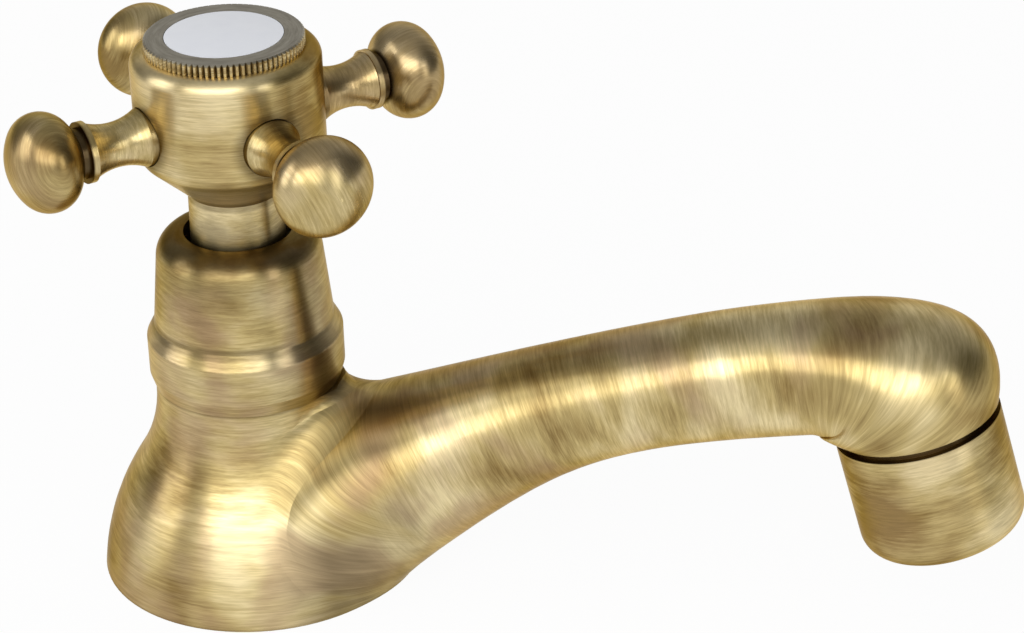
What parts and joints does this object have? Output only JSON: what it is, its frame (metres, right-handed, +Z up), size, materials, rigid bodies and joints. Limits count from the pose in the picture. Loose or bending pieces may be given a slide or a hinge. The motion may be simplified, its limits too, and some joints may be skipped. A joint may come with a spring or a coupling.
{
  "type": "cross handle tap",
  "caption": "Deck mounted pillar tap with a long low spout, bell shroud, quarter-turn ceramic valve, cross handle with ball-ended arms and a screwed-in aerator.",
  "frame": {"origin": "centre of the supply hole where the foot stands on the deck, on the valve axis", "axes": "+Z up along the valve and handle axis; +X from the valve axis along the spout towards the outlet; +Y to the left seen from behind the tap"},
  "size_m": [0.1626, 0.061, 0.0978],
  "materials": {
    "antique_brass": "brushed antique brass, lacquered, dark in the recesses",
    "plain_brass": "turned, unfinished",
    "steel": "stamped stainless steel",
    "seal_rubber": "matt black rubber",
    "valve_ceramic": "lapped alumina ceramic",
    "porcelain": "glazed bluish white porcelain",
    "white_plastic": "moulded, satin"
  },
  "bodies": {
    "tap": {"tap_body": "antique_brass", "base_gasket": "seal_rubber", "seat_seal": "seal_rubber", "fixed_disc": "valve_ceramic", "valve_bonnet": "plain_brass", "bonnet_gasket": "seal_rubber", "shroud": "antique_brass", "aerator_shell": "antique_brass", "aerator_gasket": "seal_rubber", "aerator_diffuser": "white_plastic", "aerator_housing": "white_plastic", "aerator_grid": "white_plastic"},
    "handle": {"moving_disc": "valve_ceramic", "spindle": "plain_brass", "lower_o_ring": "seal_rubber", "upper_o_ring": "seal_rubber", "thrust_washer": "white_plastic", "stop_washer": "steel", "circlip": "steel", "handle_hub": "antique_brass", "handle_arm_1": "antique_brass", "handle_arm_2": "antique_brass", "handle_arm_3": "antique_brass", "handle_arm_4": "antique_brass", "screw_washer": "plain_brass", "handle_screw": "plain_brass", "index_ring": "antique_brass", "index_disc": "porcelain"}
  },
  "joints": [
    {"name": "handle_turn", "type": "hinge", "parent": "tap", "child": "handle", "pos_m": [0, 0, 0.0831], "axis": [0, 0, 1], "range_deg": [0, 90]}
  ]
}
